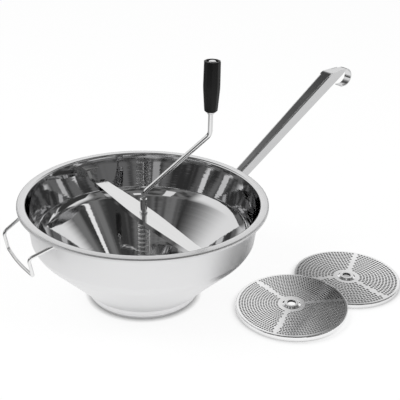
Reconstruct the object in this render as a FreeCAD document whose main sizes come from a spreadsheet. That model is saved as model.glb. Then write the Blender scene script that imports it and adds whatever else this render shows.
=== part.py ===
import FreeCAD, Part
import math
import os
import Sketcher

# A large hand-cranked strainer (food mill). The bowl's axis is Z, its foot stands on
# the plane z = 0, the crank's arm points along +X and all sizes are in millimetres.

Vector = FreeCAD.Vector
doc = FreeCAD.newDocument("strainer")

# --------------------------------------------------------------------------------------
# Driving dimensions
# --------------------------------------------------------------------------------------
SIZES = [
    # bowl, drawn on its food side and thickened outwards
    ("wall", 1.2),
    ("rim_radius", 185),
    ("rim_height", 159),
    ("brim_drop", 1.5),
    ("hem_depth", 3.5),
    ("mouth_radius", 172),
    ("crease_radius", 165.5),
    ("crease_height", 103),
    ("shoulder_radius", 162),
    ("shoulder_height", 93.7),
    ("shoulder_bend", 38),
    ("throat_radius", 84.8),
    ("throat_height", 16),
    ("ledge_height", 10.6),
    ("ledge_radius", 81.6),
    ("collar_height", 5.4),
    ("foot_radius", 78.6),
    ("hem_bend", 2),
    ("mouth_bend", 3),
    ("throat_bend", 3),
    ("inner_bend", 0.5),
    ("outer_bend", 1.7),
    ("weld_gap", 0.05),
    ("seat_gap", 0.12),
    ("running_gap", 0.3),
    ("shaft_clearance", 0.15),
    # perforated discs
    ("disc_gap", 0.6),
    ("disc_wall", 0.8),
    ("disc_lip", 7),
    ("disc_bend", 1.6),
    ("press_bend", 1.2),
    ("boss_radius", 14),
    ("boss_rise", 2.5),
    ("boss_top_radius", 10.5),
    ("hole_turn", 3),
    ("disc_bore", 6.2),
    ("plain_centre", 20),
    ("plain_edge", 5),
    ("spoke_width", 7),
    ("fine_hole", 1.9),
    ("fine_pitch", 4),
    ("medium_hole", 2.7),
    ("medium_pitch", 5),
    ("coarse_hole", 4),
    ("coarse_pitch", 6.4),
    ("back_disc_reach", 324.9),
    ("back_disc_azimuth", 4.91),
    ("back_disc_turn", 67),
    ("front_disc_reach", 229.9),
    ("front_disc_azimuth", -14.9),
    ("front_disc_turn", 4),
    ("rest_clearance", 0.35),
    # crossbar and its lugs
    ("bar_azimuth", 121.5),
    ("bar_height", 135),
    ("bar_sheet", 1.5),
    ("bar_flange", 6),
    ("bar_half_width", 16.4),
    ("bar_half_length", 137),
    ("bar_end_half_width", 9.4),
    ("bar_bow", 900),
    ("bar_corner", 4),
    ("tongue_inner", 5.5),
    ("tongue_outer", 10.5),
    ("tongue_reach", 165),
    ("tongue_rise", 11.5),
    ("tongue_root", 126),
    ("tongue_rise_start", 147),
    ("tongue_rise_end", 157),
    ("tongue_bend", 3),
    ("lug_sheet", 1.5),
    ("lug_height", 17),
    ("lug_depth", 14),
    ("lug_angle", 8),
    ("lug_stop_angle", 0.6),
    ("bush_radius", 5.2),
    ("bush_flange", 6.4),
    ("bush_flange_height", 1.2),
    ("bush_edge", 0.5),
    # crank
    ("rod_radius", 3.6),
    ("rod_bottom", 16),
    ("crank_low_height", 167.5),
    ("crank_high_height", 260),
    ("crank_throw", 95),
    ("crank_low_bend", 17),
    ("crank_high_bend", 13),
    ("sleeve_radius", 5.3),
    ("sleeve_top", 158),
    ("sleeve_ring_radius", 5.9),
    ("sleeve_ring_height", 1.2),
    ("sleeve_edge", 0.4),
    # grip
    ("grip_bottom", 295),
    ("grip_length", 74),
    ("grip_top_radius", 12.1),
    ("grip_waist_radius", 12.6),
    ("grip_waist", 36),
    ("grip_low_radius", 9.9),
    ("grip_chamfer", 2.2),
    ("grip_edge", 1),
    ("grip_recess_radius", 8.2),
    ("grip_recess_depth", 3),
    ("grip_waist_bend", 120),
    ("grip_clearance", 0.3),
    ("collar_radius", 5.2),
    ("collar_length", 3),
    ("collar_edge", 0.8),
    ("head_washer_radius", 7.2),
    ("head_washer_sheet", 1),
    ("head_radius", 5.4),
    ("head_height", 1.8),
    ("head_bend", 1.2),
    # spring
    ("spring_radius", 9.1),
    ("spring_wire", 1.35),
    ("spring_pitch", 7.4),
    ("washer_radius", 11.5),
    ("washer_sheet", 1.2),
    # rotor
    ("hub_radius", 8),
    ("hub_top", 58.5),
    ("hub_nose_length", 9),
    ("hub_nose_edge", 0.8),
    ("hub_edge", 1),
    ("pin_radius", 1.6),
    ("pin_height", 51),
    ("pin_overhang", 1.5),
    ("blade_sheet", 2),
    ("blade_reach", 78),
    ("blade_chord", 40),
    ("blade_lean", 50),
    ("blade_gap", 1),
    ("blade_toe_round", 20),
    ("blade_heel_round", 10),
    ("blade_collar_wall", 2.5),
    ("blade_collar_length", 20),
    ("blade_collar_lift", 0.5),
    # handle
    ("handle_azimuth", 37),
    ("handle_slope", 33.6),
    ("handle_rim_height", 150.7),
    ("handle_sheet", 1.5),
    ("handle_root_inset", 25),
    ("handle_run", 247),
    ("handle_root_width", 13.1),
    ("handle_end_width", 21.6),
    ("handle_root_depth", 19.3),
    ("handle_end_depth", 26),
    ("handle_outer_bend", 3),
    ("handle_flat_height", 282),
    ("handle_flange_run", 224),
    ("handle_flange_fade", 9),
    ("hook_radius", 15),
    ("hook_run", 238),
    ("hook_tail", 8),
    ("hook_root_bend", 12),
    ("hook_lap", 6),
    ("hook_curl", 14.98),
    ("hook_root_width", 20),
    ("hook_tip_width", 13.5),
    ("saddle_sheet", 1.5),
    ("saddle_bottom", 116),
    ("saddle_top", 149.5),
    ("saddle_angle", 15),
    # rest loop
    ("loop_azimuth", 209),
    ("loop_wire", 2.5),
    ("loop_root_angle", 18),
    ("loop_root_height", 148.8),
    ("loop_overhang", 16.4),
    ("loop_corner_height", 133.2),
    ("loop_corner_half", 44.8),
    ("loop_drop", 28.2),
    ("loop_drop_inset", 5.5),
    ("loop_bulge", 3.5),
    ("loop_corner_bend", 8),
    ("loop_low_bend", 4),
    ("loop_bulge_bend", 300),
    ("loop_pad_width", 12),
    ("loop_pad_height", 8),
    ("loop_pad_sheet", 3.4),
]

dims = doc.addObject("Spreadsheet::Sheet", "dims")
for row, (alias, size) in enumerate(SIZES, start=1):
    dims.set("A%d" % row, alias)
    dims.set("B%d" % row, str(size))
    dims.setAlias("B%d" % row, alias)
doc.recompute()


def size(alias):
    """Current value of one driving dimension."""
    return float(dims.get(alias))


def value(expression):
    """Value of an expression over the sheet's aliases."""
    return float(dims.evalExpression(expression))


# --------------------------------------------------------------------------------------
# Building blocks
# --------------------------------------------------------------------------------------
UPRIGHT = FreeCAD.Rotation(Vector(1, 0, 0), 90)
PLAN = FreeCAD.Rotation()
TO_UPRIGHT = "rotation(vector(1; 0; 0); 90)"


def bind(item, **expressions):
    """Tie properties of an object to expressions over the sheet."""
    for name, expression in expressions.items():
        item.setExpression(name, expression)


def place(item, x="0", y="0", z="0", turn="0", axis="0; 0; 1"):
    """Tie an object's whole Placement to the sheet."""
    form = "placement(vector(%s; %s; %s); rotation(vector(%s); %s))"
    item.setExpression("Placement", form % (x, y, z, axis, turn))


def outline(name, points, rounds=None, closed=True, rotation=UPRIGHT, height="0"):
    """Sketch of straight runs through points given as expressions, with bound roundings.

    rotation is UPRIGHT for a section in the XZ plane or PLAN for a plan at a height."""
    sketch = doc.addObject("Sketcher::SketchObject", name)
    sketch.Placement = FreeCAD.Placement(Vector(0, 0, 0), rotation)
    if rotation is PLAN:
        sketch.setExpression("Placement.Base.z", height)
    corners = [Vector(value(x), value(y), 0) for x, y in points]
    count = len(corners)
    runs = count if closed else count - 1
    for index in range(runs):
        sketch.addGeometry(Part.LineSegment(corners[index], corners[(index + 1) % count]))
    for index in range(runs if closed else runs - 1):
        sketch.addConstraint(Sketcher.Constraint("Coincident", index, 2, (index + 1) % runs, 1))
    for index, (x, y) in enumerate(points):
        line, end = (index, 1) if index < runs else (runs - 1, 2)
        for kind, expression in (("DistanceX", x), ("DistanceY", y)):
            tie = Sketcher.Constraint(kind, -1, 1, line, end, value(expression))
            number = sketch.addConstraint(tie)
            sketch.setExpression("Constraints[%d]" % number, expression)
    sketch.solve()
    for index, expression in (rounds or {}).items():
        radius = value(expression)
        corner = corners[index]
        before = (corners[index - 1] - corner).normalize() * (radius / 4)
        after = (corners[(index + 1) % count] - corner).normalize() * (radius / 4)
        previous = (index - 1) % runs
        sketch.fillet(previous, index, corner + before, corner + after, radius, True, True)
        arc = sketch.GeometryCount - 1
        while sketch.Geometry[arc].TypeId != "Part::GeomArcOfCircle":
            arc -= 1
        number = sketch.addConstraint(Sketcher.Constraint("Radius", arc, radius))
        sketch.setExpression("Constraints[%d]" % number, expression)
        sketch.solve()
    return sketch


def thickened(name, path, thickness):
    """Face of one sheet thickness along an open path, on the path's left-hand side."""
    skin = doc.addObject("Part::Offset2D", name)
    skin.Source = path
    skin.Mode = "Skin"
    skin.Fill = True
    skin.Join = 2
    bind(skin, Value=thickness)
    return skin


def revolved(name, section, angle="360"):
    """Solid of revolution about the bowl's axis."""
    solid = doc.addObject("Part::Revolution", name)
    solid.Source = section
    solid.Axis = Vector(0, 0, 1)
    solid.Base = Vector(0, 0, 0)
    solid.Solid = True
    bind(solid, Angle=angle)
    return solid


def extruded(name, section, direction, length, symmetric=False):
    """Solid pushed out of a flat section."""
    solid = doc.addObject("Part::Extrusion", name)
    solid.Base = section
    solid.DirMode = "Custom"
    solid.Dir = direction
    solid.Solid = True
    solid.Symmetric = symmetric
    bind(solid, LengthFwd=length)
    return solid


def ring(name, inner, outer, bottom, top, rounds=None):
    """Turned ring or tube between two radii and two heights."""
    corners = [(inner, bottom), (outer, bottom), (outer, top), (inner, top)]
    return revolved(name, outline(name + "_section", corners, rounds))


def cylinder(name, radius, height, **where):
    """Round bar along its own Z, placed by expressions."""
    solid = doc.addObject("Part::Cylinder", name)
    bind(solid, Radius=radius, Height=height)
    place(solid, **where)
    return solid


def box(name, length, width, height, **where):
    """Rectangular block with one corner at its placement."""
    solid = doc.addObject("Part::Box", name)
    bind(solid, Length=length, Width=width, Height=height)
    place(solid, **where)
    return solid


def cut(name, base, tool):
    """base with tool taken away."""
    solid = doc.addObject("Part::Cut", name)
    solid.Base = base
    solid.Tool = tool
    return solid


def fused(name, pieces, refine=True):
    """Pieces welded into one solid."""
    solid = doc.addObject("Part::MultiFuse", name)
    solid.Shapes = pieces
    solid.Refine = refine
    return solid


def common(name, pieces):
    """What all the pieces share."""
    solid = doc.addObject("Part::MultiCommon", name)
    solid.Shapes = pieces
    return solid


nodes = []


def piece(solid, label):
    """Register a finished sub-part under the name of its node."""
    solid.Label = label
    nodes.append(solid)
    return solid


# --------------------------------------------------------------------------------------
# Bowl: rim hem, brim, band, shoulder, cone, disc ledge and stepped foot in one sheet
# --------------------------------------------------------------------------------------
def make_bowl():
    hem_bottom = "dims.rim_height - dims.brim_drop - dims.hem_depth"
    line = [
        ("dims.rim_radius", hem_bottom),
        ("dims.rim_radius", "dims.rim_height - dims.brim_drop"),
        ("dims.mouth_radius", "dims.rim_height"),
        ("dims.crease_radius", "dims.crease_height"),
        ("dims.shoulder_radius", "dims.shoulder_height"),
        ("dims.throat_radius", "dims.throat_height"),
        ("dims.throat_radius", "dims.ledge_height"),
        ("dims.ledge_radius", "dims.ledge_height"),
        ("dims.ledge_radius", "dims.collar_height"),
        ("dims.foot_radius", "dims.collar_height"),
        ("dims.foot_radius", "0"),
    ]
    rounds = {
        1: "dims.hem_bend",
        2: "dims.mouth_bend",
        4: "dims.shoulder_bend",
        5: "dims.throat_bend",
        6: "dims.inner_bend",
        7: "dims.outer_bend",
        8: "dims.inner_bend",
        9: "dims.outer_bend",
    }
    path = outline("bowl_line", line, rounds, closed=False)
    return piece(revolved("bowl_shell", thickened("bowl_skin", path, "dims.wall")), "bowl")


# --------------------------------------------------------------------------------------
# Perforated discs
# --------------------------------------------------------------------------------------
DISC_RADIUS = "(dims.throat_radius - dims.disc_gap)"
SPOKES = 3


def hole_cutters(name, hole, pitch):
    """Round cutters on concentric circles, leaving plain spokes, centre and edge."""
    radius = size(hole) / 2
    step = size(pitch)
    inner = size("plain_centre") + radius
    outer = value("dims.throat_radius - dims.disc_gap - dims.plain_edge") - radius
    circles = int((outer - inner) / step)
    depth = size("disc_lip")
    cutters = []
    for circle in range(circles + 1):
        reach = outer - circle * step
        count = int(round(2 * math.pi * reach / step))
        for number in range(count):
            angle = 2 * math.pi * (number + 0.5 * (circle % 2)) / count
            spoke = round(angle * SPOKES / (2 * math.pi)) * 2 * math.pi / SPOKES
            if reach * abs(math.sin(angle - spoke)) < size("spoke_width") / 2:
                continue
            centre = Vector(reach * math.cos(angle), reach * math.sin(angle), depth / 2)
            cutters.append(Part.makeCylinder(radius, depth, centre))
    holes = doc.addObject("Part::Feature", name)
    holes.Shape = Part.makeCompound(cutters)
    return holes


def make_disc(label, hole, pitch):
    """Pressed disc standing on its lip at z = 0: flat plate, raised centre and bore."""
    plate = "dims.disc_lip"
    boss = "(dims.disc_lip + dims.boss_rise)"
    line = [
        (DISC_RADIUS, "0"),
        (DISC_RADIUS, plate),
        ("dims.boss_radius", plate),
        ("dims.boss_top_radius", boss),
        ("dims.disc_bore", boss),
        ("dims.disc_bore", boss + " - dims.hole_turn"),
    ]
    press = "dims.press_bend"
    rounds = {1: "dims.disc_bend", 2: press, 3: press, 4: press}
    path = outline(label + "_line", line, rounds, closed=False)
    blank = revolved(label + "_blank", thickened(label + "_skin", path, "dims.disc_wall"))
    return piece(cut(label + "_plate", blank, hole_cutters(label + "_holes", hole, pitch)), label)


def make_discs():
    fitted = make_disc("coarse_disc", "coarse_hole", "coarse_pitch")
    place(fitted, z="dims.ledge_height + dims.weld_gap", turn="30")
    back = make_disc("medium_disc", "medium_hole", "medium_pitch")
    across = "dims.back_disc_reach * cos(dims.back_disc_azimuth)"
    along = "dims.back_disc_reach * sin(dims.back_disc_azimuth)"
    place(back, x=across, y=along, turn="dims.back_disc_turn")
    lean_disc(make_disc("fine_disc", "fine_hole", "fine_pitch"))


def lean_disc(disc):
    """Stand one edge of a disc on the table and its lip on the rim of the disc behind it."""
    radius = value(DISC_RADIUS)

    def spot(name):
        azimuth = math.radians(size(name + "_azimuth"))
        return Vector(math.cos(azimuth), math.sin(azimuth), 0) * size(name + "_reach")

    centre = spot("front_disc")
    towards = spot("back_disc") - centre
    rise = size("disc_lip") + size("rest_clearance")
    lever = radius + towards.Length / 2
    towards.normalize()
    tilt = math.degrees(math.asin(rise / lever))
    lean = FreeCAD.Rotation(towards.cross(Vector(0, 0, 1)), tilt)
    turn = FreeCAD.Rotation(Vector(0, 0, 1), size("front_disc_turn"))
    centre.z = radius * math.sin(math.radians(tilt))
    disc.Placement = FreeCAD.Placement(centre, lean.multiply(turn))


# --------------------------------------------------------------------------------------
# Crossbar, its bush and the two lugs that hold it down
# --------------------------------------------------------------------------------------
BAR_BOTTOM = "(dims.bar_height - dims.bar_sheet)"
TONGUE_TOP = "(dims.bar_height + dims.tongue_rise)"
LUG_CEILING = "(dims.bar_height + dims.tongue_rise + dims.running_gap)"


def boat_plan(name, inset, height):
    """Plan of the bar: widest in the middle, tapering to both shoulders."""
    wide = "(dims.bar_half_width - %s)" % inset
    narrow = "(dims.bar_end_half_width - %s)" % inset
    length = "(dims.bar_half_length - %s)" % inset
    corners = [
        (length, narrow),
        ("0", wide),
        ("-" + length, narrow),
        ("-" + length, "-" + narrow),
        ("0", "-" + wide),
        (length, "-" + narrow),
    ]
    corner = "(dims.bar_corner - %s)" % inset
    rounds = {0: corner, 1: "dims.bar_bow", 2: corner, 3: corner, 4: "dims.bar_bow", 5: corner}
    return outline(name, corners, rounds, rotation=PLAN, height=height)


def make_tongue(name, turn):
    """Joggled strip that carries one end of the bar up into its lug."""
    lower = "dims.bar_height"
    line = [
        ("dims.tongue_reach", TONGUE_TOP),
        ("dims.tongue_rise_end", TONGUE_TOP),
        ("dims.tongue_rise_start", lower),
        ("dims.tongue_root", lower),
    ]
    path = outline(name + "_line", line, {1: "dims.tongue_bend", 2: "dims.tongue_bend"}, closed=False)
    skin = thickened(name + "_skin", path, "dims.bar_sheet")
    strip = extruded(name, skin, Vector(0, 1, 0), "dims.tongue_outer - dims.tongue_inner")
    side = "dims.tongue_inner"
    place(strip, x="-(%s) * sin(%s)" % (side, turn), y="%s * cos(%s)" % (side, turn), turn=turn)
    return strip


def make_crossbar():
    bottom = "dims.bar_height - dims.bar_sheet - dims.bar_flange"
    height = "dims.bar_sheet + dims.bar_flange"
    outer = extruded("bar_outer", boat_plan("bar_plan", "0", bottom), Vector(0, 0, 1), height)
    inner_plan = boat_plan("bar_inner_plan", "dims.bar_sheet", bottom + " - 1")
    inner = extruded("bar_inner", inner_plan, Vector(0, 0, 1), "dims.bar_flange + 1")
    channel = cut("bar_channel", outer, inner)
    hole = cylinder("bar_hole", "dims.bush_radius + dims.weld_gap", "4 * dims.bar_sheet",
                    z="dims.bar_height - 2 * dims.bar_sheet")
    drilled = cut("bar_drilled", channel, hole)
    tongues = [make_tongue("tongue_a", "0"), make_tongue("tongue_b", "180")]
    bar = piece(fused("bar", [drilled] + tongues), "crossbar")
    place(bar, turn="dims.bar_azimuth")
    corners = [
        ("dims.rod_radius + dims.shaft_clearance", BAR_BOTTOM),
        ("dims.bush_radius", BAR_BOTTOM),
        ("dims.bush_radius", "dims.bar_height + dims.weld_gap"),
        ("dims.bush_flange", "dims.bar_height + dims.weld_gap"),
        ("dims.bush_flange", BUSH_TOP),
        ("dims.rod_radius + dims.shaft_clearance", BUSH_TOP),
    ]
    piece(revolved("bush", outline("bush_section", corners, {4: "dims.bush_edge"})), "crossbar_bush")


BUSH_TOP = "(dims.bar_height + dims.bush_flange_height + dims.weld_gap)"


def wall_radius(height, extra="0"):
    """Food-side radius of the bowl's band at a height, as an expression."""
    slope = "(dims.mouth_radius - dims.crease_radius) / (dims.rim_height - dims.crease_height)"
    return "(dims.crease_radius + (%s - dims.crease_height) * %s + %s)" % (height, slope, extra)


def make_lug(label, half_turn):
    """Hooked bracket welded inside the band: wall plate, ceiling and a stop for the tongue."""
    bottom = "(%s + dims.lug_sheet - dims.lug_height)" % LUG_CEILING
    top = "(%s + dims.lug_sheet)" % LUG_CEILING
    inner_reach = "(%s - dims.lug_depth)" % wall_radius(top)
    seat = "-dims.seat_gap"
    plate = "-dims.seat_gap - dims.lug_sheet"
    angle_section = [
        (wall_radius(bottom, seat), bottom),
        (wall_radius(top, seat), top),
        (inner_reach, top),
        (inner_reach, LUG_CEILING),
        (wall_radius(LUG_CEILING, plate), LUG_CEILING),
        (wall_radius(bottom, plate), bottom),
    ]
    stop_section = [
        (wall_radius(bottom, seat), bottom),
        (wall_radius(top, seat), top),
        (inner_reach, top),
        (inner_reach, bottom),
    ]
    angle = revolved(label + "_angle", outline(label + "_angle_section", angle_section), "dims.lug_angle")
    stop = revolved(label + "_stop", outline(label + "_stop_section", stop_section),
                    "dims.lug_stop_angle")
    face = "(asin((dims.tongue_outer + dims.running_gap) / %s) / 1 deg)" % inner_reach
    place(angle, turn="%s - dims.lug_angle" % face)
    place(stop, turn=face)
    lug = piece(fused(label + "_weldment", [angle, stop]), label)
    place(lug, turn="dims.bar_azimuth + %s" % half_turn)


# --------------------------------------------------------------------------------------
# Crank: bent rod, stop sleeve, rotor hub, blade and cross pin
# --------------------------------------------------------------------------------------
SLEEVE_BOTTOM = "(%s + dims.running_gap)" % BUSH_TOP
GRIP_TOP = "(dims.grip_bottom + dims.grip_length)"
RECESS_FLOOR = "(dims.grip_bottom + dims.grip_length - dims.grip_recess_depth)"
HEAD_BOTTOM = "(%s + dims.grip_clearance + dims.head_washer_sheet + dims.weld_gap)" % RECESS_FLOOR
BOSS_TOP = "(dims.ledge_height + dims.disc_lip + dims.boss_rise)"
HUB_SHOULDER = "(%s + dims.blade_gap)" % BOSS_TOP


def swept(name, path, radius):
    """Round rod along a sketch that starts on the bowl's axis, pointing up."""
    section = doc.addObject("Part::Circle", name + "_section")
    bind(section, Radius=radius)
    place(section, z="dims.rod_bottom")
    doc.recompute()
    rod = doc.addObject("Part::Sweep", name)
    rod.Sections = [section]
    rod.Spine = (path, ["Edge%d" % (n + 1) for n in range(len(path.Shape.Edges))])
    rod.Solid = True
    rod.Frenet = False
    return rod


def make_crank():
    line = [
        ("0", "dims.rod_bottom"),
        ("0", "dims.crank_low_height"),
        ("dims.crank_throw", "dims.crank_high_height"),
        ("dims.crank_throw", HEAD_BOTTOM),
    ]
    rounds = {1: "dims.crank_low_bend", 2: "dims.crank_high_bend"}
    rod = swept("rod", outline("crank_line", line, rounds, closed=False), "dims.rod_radius")
    head_section = [
        ("0", HEAD_BOTTOM),
        ("dims.head_radius", HEAD_BOTTOM),
        ("dims.head_radius", HEAD_BOTTOM + " + dims.head_height"),
        ("0", HEAD_BOTTOM + " + dims.head_height"),
    ]
    head = revolved("head", outline("head_section", head_section, {2: "dims.head_bend"}))
    place(head, x="dims.crank_throw")
    headed = fused("headed_rod", [rod, head])
    piece(cut("crank", headed, pin_hole("rod_pin_hole")), "crank_rod")

    ring_top = SLEEVE_BOTTOM + " + dims.sleeve_ring_height"
    corners = [
        ("dims.rod_radius + dims.weld_gap", SLEEVE_BOTTOM),
        ("dims.sleeve_ring_radius", SLEEVE_BOTTOM),
        ("dims.sleeve_ring_radius", ring_top),
        ("dims.sleeve_radius", ring_top),
        ("dims.sleeve_radius", "dims.sleeve_top"),
        ("dims.rod_radius + dims.weld_gap", "dims.sleeve_top"),
    ]
    edge = "dims.sleeve_edge"
    section = outline("sleeve_section", corners, {1: edge, 2: edge, 4: edge})
    piece(revolved("sleeve", section), "shaft_sleeve")


def pin_hole(name):
    """Cutter for the cross pin's hole."""
    radius = "dims.pin_radius + dims.weld_gap"
    half = "2 * dims.hub_radius"
    length = "4 * dims.hub_radius"
    return cylinder(name, radius, length, y=half, z="dims.pin_height", turn="90", axis="1; 0; 0")


def make_rotor():
    nose = "(dims.disc_bore - dims.running_gap)"
    bore = "dims.rod_radius + dims.weld_gap"
    corners = [
        (bore, HUB_SHOULDER + " - dims.hub_nose_length"),
        (nose, HUB_SHOULDER + " - dims.hub_nose_length"),
        (nose, HUB_SHOULDER),
        ("dims.hub_radius", HUB_SHOULDER),
        ("dims.hub_radius", "dims.hub_top"),
        (bore, "dims.hub_top"),
    ]
    hub = revolved("hub", outline("hub_section", corners, {1: "dims.hub_nose_edge", 4: "dims.hub_edge"}))
    piece(cut("hub_drilled", hub, pin_hole("hub_pin_hole")), "rotor_hub")

    length = "2 * (dims.hub_radius + dims.pin_overhang)"
    half = "dims.hub_radius + dims.pin_overhang"
    pin = cylinder("cross_pin", "dims.pin_radius", length, y=half, z="dims.pin_height",
                   turn="90", axis="1; 0; 0")
    piece(pin, "rotor_pin")

    collar_low = HUB_SHOULDER + " + dims.blade_collar_lift"
    collar = ring("blade_collar", "dims.hub_radius + dims.weld_gap",
                  "dims.hub_radius + dims.blade_collar_wall",
                  collar_low, collar_low + " + dims.blade_collar_length")
    wings = [make_wing("wing_a", "0"), make_wing("wing_b", "180")]
    clear = cylinder("hub_clear", "dims.hub_radius + dims.weld_gap", "2 * dims.blade_reach")
    trimmed = cut("wings_trimmed", fused("wing_pair", wings), clear)
    piece(fused("blade", [collar, trimmed], refine=False), "rotor_blade")


def make_wing(name, turn):
    """Leaning paddle from the hub to the edge of the disc, its low edge just above it."""
    plan = [
        ("0", "0"),
        ("dims.blade_reach", "0"),
        ("dims.blade_reach", "dims.blade_chord"),
        ("0", "dims.blade_chord"),
    ]
    rounds = {1: "dims.blade_toe_round", 2: "dims.blade_heel_round"}
    section = outline(name + "_plan", plan, rounds)
    wing = extruded(name, section, Vector(0, -1, 0), "dims.blade_sheet")
    low = "dims.ledge_height + dims.disc_lip + dims.blade_gap"
    back = "dims.blade_chord * sin(dims.blade_lean) / 2"
    corner = "vector(%s * sin(%s); -(%s) * cos(%s); %s)" % (back, turn, back, turn, low)
    spin = "rotation(vector(0; 0; 1); %s)" % turn
    lean = "rotation(vector(1; 0; 0); -dims.blade_lean)"
    wing.setExpression("Placement", "placement(%s; %s * %s)" % (corner, spin, lean))
    return wing


# --------------------------------------------------------------------------------------
# Pressure spring between the crossbar and the rotor
# --------------------------------------------------------------------------------------
UPPER_WASHER_BOTTOM = "(%s - dims.weld_gap - dims.washer_sheet)" % BAR_BOTTOM
LOWER_WASHER_TOP = "(dims.hub_top + dims.running_gap + dims.washer_sheet)"


def make_spring():
    bore = "dims.rod_radius + dims.running_gap"
    upper = ring("upper_washer", bore, "dims.washer_radius", UPPER_WASHER_BOTTOM,
                 UPPER_WASHER_BOTTOM + " + dims.washer_sheet")
    piece(upper, "upper_spring_washer")
    lower = ring("lower_washer", bore, "dims.washer_radius",
                 "dims.hub_top + dims.running_gap", LOWER_WASHER_TOP)
    piece(lower, "lower_spring_washer")
    path = doc.addObject("Part::Helix", "coil_line")
    start = LOWER_WASHER_TOP + " + dims.spring_wire + dims.weld_gap"
    finish = UPPER_WASHER_BOTTOM + " - dims.spring_wire - dims.weld_gap"
    bind(path, Radius="dims.spring_radius", Pitch="dims.spring_pitch",
         Height="%s - (%s)" % (finish, start))
    place(path, z=start)
    section = doc.addObject("Part::Circle", "coil_section")
    bind(section, Radius="dims.spring_wire")
    place(section, x="dims.spring_radius", z=start, turn="90", axis="1; 0; 0")
    doc.recompute()
    coil = doc.addObject("Part::Sweep", "coil")
    coil.Sections = [section]
    coil.Spine = (path, ["Edge1"])
    coil.Solid = True
    coil.Frenet = True
    piece(coil, "pressure_spring")


# --------------------------------------------------------------------------------------
# Grip that turns on the crank's upright end
# --------------------------------------------------------------------------------------
def make_grip():
    bore = "dims.rod_radius + dims.grip_clearance"
    foot = "(dims.grip_low_radius - dims.grip_chamfer)"
    corners = [
        (bore, "dims.grip_bottom"),
        (foot, "dims.grip_bottom"),
        ("dims.grip_low_radius", "dims.grip_bottom + dims.grip_chamfer"),
        ("dims.grip_waist_radius", "dims.grip_bottom + dims.grip_waist"),
        ("dims.grip_top_radius", GRIP_TOP),
        ("dims.grip_recess_radius", GRIP_TOP),
        ("dims.grip_recess_radius", RECESS_FLOOR),
        (bore, RECESS_FLOOR),
    ]
    rounds = {3: "dims.grip_waist_bend", 4: "dims.grip_edge", 5: "dims.grip_edge"}
    grip = piece(revolved("handgrip", outline("grip_section", corners, rounds)), "grip")
    place(grip, x="dims.crank_throw")

    top = "dims.grip_bottom - dims.running_gap"
    collar = ring("grip_stop", "dims.rod_radius + dims.weld_gap", "dims.collar_radius",
                  top + " - dims.collar_length", top, {1: "dims.collar_edge"})
    place(piece(collar, "grip_collar"), x="dims.crank_throw")
    low = RECESS_FLOOR + " + dims.grip_clearance"
    washer = ring("head_washer", "dims.rod_radius + dims.weld_gap", "dims.head_washer_radius",
                  low, low + " + dims.head_washer_sheet")
    place(piece(washer, "grip_washer"), x="dims.crank_throw")


# --------------------------------------------------------------------------------------
# Long channel handle with its hook, and the saddle plate that it is welded to
# --------------------------------------------------------------------------------------
HANDLE_ROOT = "(dims.rim_radius - dims.handle_root_inset)"
HANDLE_END = "(dims.rim_radius + dims.handle_run)"
FLANGE_END = "(dims.rim_radius + dims.handle_flange_run)"
HOOK_REACH = "(dims.rim_radius + dims.hook_run)"


def web_height(reach):
    """Height of the web's top face at a reach from the bowl's axis, as an expression."""
    return "(dims.handle_rim_height + (%s - dims.rim_radius) * tan(dims.handle_slope))" % reach


def channel_section(name, reach, width, depth):
    """Inverted U in the plane square to the handle's run, at one reach."""
    top = web_height(reach)
    sheet = "dims.handle_sheet"
    web = "dims.handle_sheet / cos(dims.handle_slope)"
    half = "(%s / 2)" % width
    low = "(%s - %s)" % (top, depth)
    corners = [
        (half, low),
        (half, top),
        ("-" + half, top),
        ("-" + half, low),
        ("-(%s - %s)" % (half, sheet), low),
        ("-(%s - %s)" % (half, sheet), "%s - %s" % (top, web)),
        ("(%s - %s)" % (half, sheet), "%s - %s" % (top, web)),
        ("(%s - %s)" % (half, sheet), low),
    ]
    inner = "dims.handle_outer_bend - dims.handle_sheet"
    rounds = {1: "dims.handle_outer_bend", 2: "dims.handle_outer_bend", 5: inner, 6: inner}
    section = outline(name, corners, rounds)
    across = "rotation(vector(0; 0; 1); 90)"
    section.setExpression("Placement", "placement(vector(%s; 0; 0); %s * %s)"
                          % (reach, across, TO_UPRIGHT))
    return section


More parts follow.
